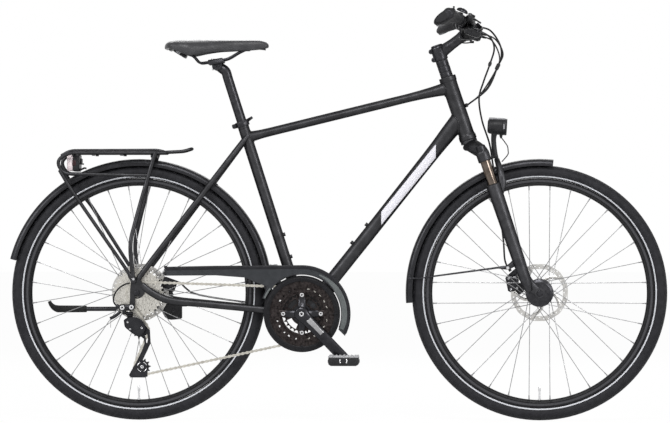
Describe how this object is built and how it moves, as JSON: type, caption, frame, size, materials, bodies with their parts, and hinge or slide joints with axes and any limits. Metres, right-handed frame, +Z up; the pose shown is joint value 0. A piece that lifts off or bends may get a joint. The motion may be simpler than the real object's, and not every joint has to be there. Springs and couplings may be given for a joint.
{
  "type": "trekking bicycle",
  "caption": "Equipped touring bicycle with a suspension fork, disc brakes, derailleur gears, mudguards, carrier, lights and a folding stand.",
  "frame": {"origin": "on the ground under the middle of the bicycle", "axes": "+X forward, +Y to the rider's left, +Z up; the drive side is -Y"},
  "size_m": [1.8193, 0.629, 1.1372],
  "materials": {
    "paint_black": "satin",
    "plastic_black": "matt",
    "rubber_black": "matt",
    "tyre_black": "matt",
    "alloy_black": "anodised",
    "steel_bright": "bright",
    "steel_chain": "oiled",
    "plastic_grey": "matt",
    "saddle_cover": "grained cover over foam",
    "lens_red": "gloss"
  },
  "bodies": {
    "frame": {"frame": "paint_black", "bottom_bracket": "alloy_black", "seat_clamp": "alloy_black", "rear_mudguard": "paint_black", "rear_rack": "paint_black", "tail_light": "lens_red", "kickstand_bracket": "plastic_black", "chain_guard": "plastic_grey", "rear_brake_caliper": "alloy_black", "front_derailleur_clamp": "alloy_black", "rear_derailleur_mount": "alloy_black", "rear_axle": "steel_bright", "chain": "steel_chain"},
    "steering": {"fork_crown": "paint_black", "stem": "alloy_black", "handlebar": "alloy_black", "grip_right": "rubber_black", "grip_left": "rubber_black", "control_right": "plastic_black", "control_left": "plastic_black", "bell": "alloy_black", "front_brake_hose": "rubber_black", "control_cables": "rubber_black"},
    "fork_sliders": {"fork_lowers": "paint_black", "front_mudguard": "paint_black", "headlight": "plastic_black", "front_brake_caliper": "alloy_black", "front_axle": "steel_bright"},
    "front_wheel": {"front_tyre": "tyre_black", "front_rim": "alloy_black", "front_hub": "steel_bright", "front_rotor": "steel_bright"},
    "rear_wheel": {"rear_tyre": "tyre_black", "rear_rim": "alloy_black", "rear_hub": "steel_bright", "rear_rotor": "steel_bright"},
    "cassette": {"cassette": "steel_bright"},
    "crankset": {"crank_right": "alloy_black", "crank_left": "alloy_black", "chainring_outer": "alloy_black", "chainring_middle": "alloy_black", "chainring_inner": "alloy_black"},
    "pedal_right": {"pedal_right": "alloy_black"},
    "pedal_left": {"pedal_left": "alloy_black"},
    "kickstand": {"kickstand_leg": "alloy_black"},
    "saddle_and_post": {"seatpost": "alloy_black", "saddle_base": "plastic_black", "saddle_pad": "saddle_cover"},
    "seat_clamp_lever": {"seat_clamp_lever": "alloy_black"},
    "brake_lever_right": {"brake_lever_right": "alloy_black"},
    "brake_lever_left": {"brake_lever_left": "alloy_black"},
    "shift_lever_right": {"shift_lever_right": "plastic_black"},
    "shift_lever_left": {"shift_lever_left": "plastic_black"},
    "bell_striker": {"bell_striker": "alloy_black"},
    "front_derailleur_cage": {"front_derailleur_cage": "alloy_black"},
    "derailleur_link": {"rear_derailleur_link": "alloy_black"},
    "derailleur_knuckle": {"rear_derailleur_knuckle": "alloy_black"},
    "derailleur_cage": {"rear_derailleur_cage": "alloy_black"},
    "guide_pulley": {"guide_pulley": "plastic_black"},
    "tension_pulley": {"tension_pulley": "plastic_black"}
  },
  "joints": [
    {"name": "steering", "type": "hinge", "parent": "frame", "child": "steering", "pos_m": [0.361, 0, 0.77477], "axis": [-0.3203, 0, 0.9473], "range_deg": [-60, 60], "deforming": ["control_cables"]},
    {"name": "fork_travel", "type": "slide", "parent": "steering", "child": "fork_sliders", "axis": [-0.3203, 0, 0.9473], "range_m": [0, 0.05], "stiffness_N_per_m": 9000, "springref_m": -0.02, "deforming": ["front_brake_hose"]},
    {"name": "front_wheel_spin", "type": "hinge", "parent": "fork_sliders", "child": "front_wheel", "pos_m": [0.55735, 0, 0.3523], "axis": [0, 1, 0], "continuous": true},
    {"name": "rear_wheel_spin", "type": "hinge", "parent": "frame", "child": "rear_wheel", "pos_m": [-0.55175, 0, 0.3523], "axis": [0, 1, 0], "continuous": true},
    {"name": "crank_spin", "type": "hinge", "parent": "frame", "child": "crankset", "pos_m": [-0.09715, 0, 0.295], "axis": [0, 1, 0], "continuous": true, "deforming": ["chain"]},
    {"name": "cassette_spin", "type": "hinge", "parent": "frame", "child": "cassette", "pos_m": [-0.55175, 0, 0.3523], "axis": [0, 1, 0], "continuous": true},
    {"name": "pedal_right_spin", "type": "hinge", "parent": "crankset", "child": "pedal_right", "pos_m": [0.02094, -0.084, 0.17271], "axis": [0, 1, 0], "continuous": true},
    {"name": "pedal_left_spin", "type": "hinge", "parent": "crankset", "child": "pedal_left", "pos_m": [-0.21524, 0.084, 0.41729], "axis": [0, 1, 0], "continuous": true},
    {"name": "kickstand_swing", "type": "hinge", "parent": "frame", "child": "kickstand", "pos_m": [-0.47375, 0.086, 0.2983], "axis": [0, 0.9659, 0.2588], "range_deg": [-88, 0]},
    {"name": "seatpost_slide", "type": "slide", "parent": "frame", "child": "saddle_and_post", "axis": [-0.3039, 0, 0.9527], "range_m": [-0.1, 0.04]},
    {"name": "seat_clamp_lever_swing", "type": "hinge", "parent": "frame", "child": "seat_clamp_lever", "pos_m": [-0.28627, 0.0185, 0.81271], "axis": [-0.3039, 0, 0.9527], "range_deg": [0, 150]},
    {"name": "brake_lever_right_squeeze", "type": "hinge", "parent": "steering", "child": "brake_lever_right", "pos_m": [0.3874, -0.148, 1.08636], "axis": [0.7071, 0, 0.7071], "range_deg": [-18, 0], "stiffness_Nm_per_rad": 0.8, "springref_deg": 5.73},
    {"name": "brake_lever_left_squeeze", "type": "hinge", "parent": "steering", "child": "brake_lever_left", "pos_m": [0.3874, 0.148, 1.08636], "axis": [-0.7071, 0, -0.7071], "range_deg": [-18, 0], "stiffness_Nm_per_rad": 0.8, "springref_deg": 5.73},
    {"name": "shift_lever_right_push", "type": "hinge", "parent": "steering", "child": "shift_lever_right", "pos_m": [0.37012, -0.128, 1.05], "axis": [0, 0, 1], "range_deg": [0, 22], "stiffness_Nm_per_rad": 0.25, "springref_deg": -5.73},
    {"name": "shift_lever_left_push", "type": "hinge", "parent": "steering", "child": "shift_lever_left", "pos_m": [0.37012, 0.128, 1.05], "axis": [0, 0, -1], "range_deg": [0, 22], "stiffness_Nm_per_rad": 0.25, "springref_deg": -5.73},
    {"name": "bell_striker_flick", "type": "hinge", "parent": "steering", "child": "bell_striker", "pos_m": [0.333, -0.175, 1.12073], "axis": [0, 1, 0], "range_deg": [-12, 0], "stiffness_Nm_per_rad": 0.05, "springref_deg": 5.73},
    {"name": "front_derailleur_swing", "type": "hinge", "parent": "frame", "child": "front_derailleur_cage", "pos_m": [-0.13915, -0.024, 0.419], "axis": [1, 0, 0], "range_deg": [-9, 9]},
    {"name": "derailleur_link_swing", "type": "hinge", "parent": "frame", "child": "derailleur_link", "pos_m": [-0.57575, -0.082, 0.2963], "axis": [1, 0, 0], "range_deg": [-8, 24]},
    {"name": "derailleur_knuckle_swing", "type": "hinge", "parent": "derailleur_link", "child": "derailleur_knuckle", "pos_m": [-0.56575, -0.076, 0.2603], "axis": [1, 0, 0], "range_deg": [-24, 8]},
    {"name": "derailleur_cage_swing", "type": "hinge", "parent": "derailleur_knuckle", "child": "derailleur_cage", "pos_m": [-0.54315, -0.05, 0.2493], "axis": [0, 1, 0], "range_deg": [-30, 35], "stiffness_Nm_per_rad": 1.2},
    {"name": "guide_pulley_spin", "type": "hinge", "parent": "derailleur_cage", "child": "guide_pulley", "pos_m": [-0.54315, -0.05, 0.2493], "axis": [0, 1, 0], "continuous": true},
    {"name": "tension_pulley_spin", "type": "hinge", "parent": "derailleur_cage", "child": "tension_pulley", "pos_m": [-0.53842, -0.05, 0.14841], "axis": [0, 1, 0], "continuous": true}
  ],
  "couplings": [
    {"joint": "cassette_spin", "follows": "crank_spin", "ratio": 2.4},
    {"joint": "guide_pulley_spin", "follows": "crank_spin", "ratio": -3.2727},
    {"joint": "tension_pulley_spin", "follows": "crank_spin", "ratio": 3.2727},
    {"joint": "derailleur_knuckle_swing", "follows": "derailleur_link_swing", "ratio": -1}
  ]
}
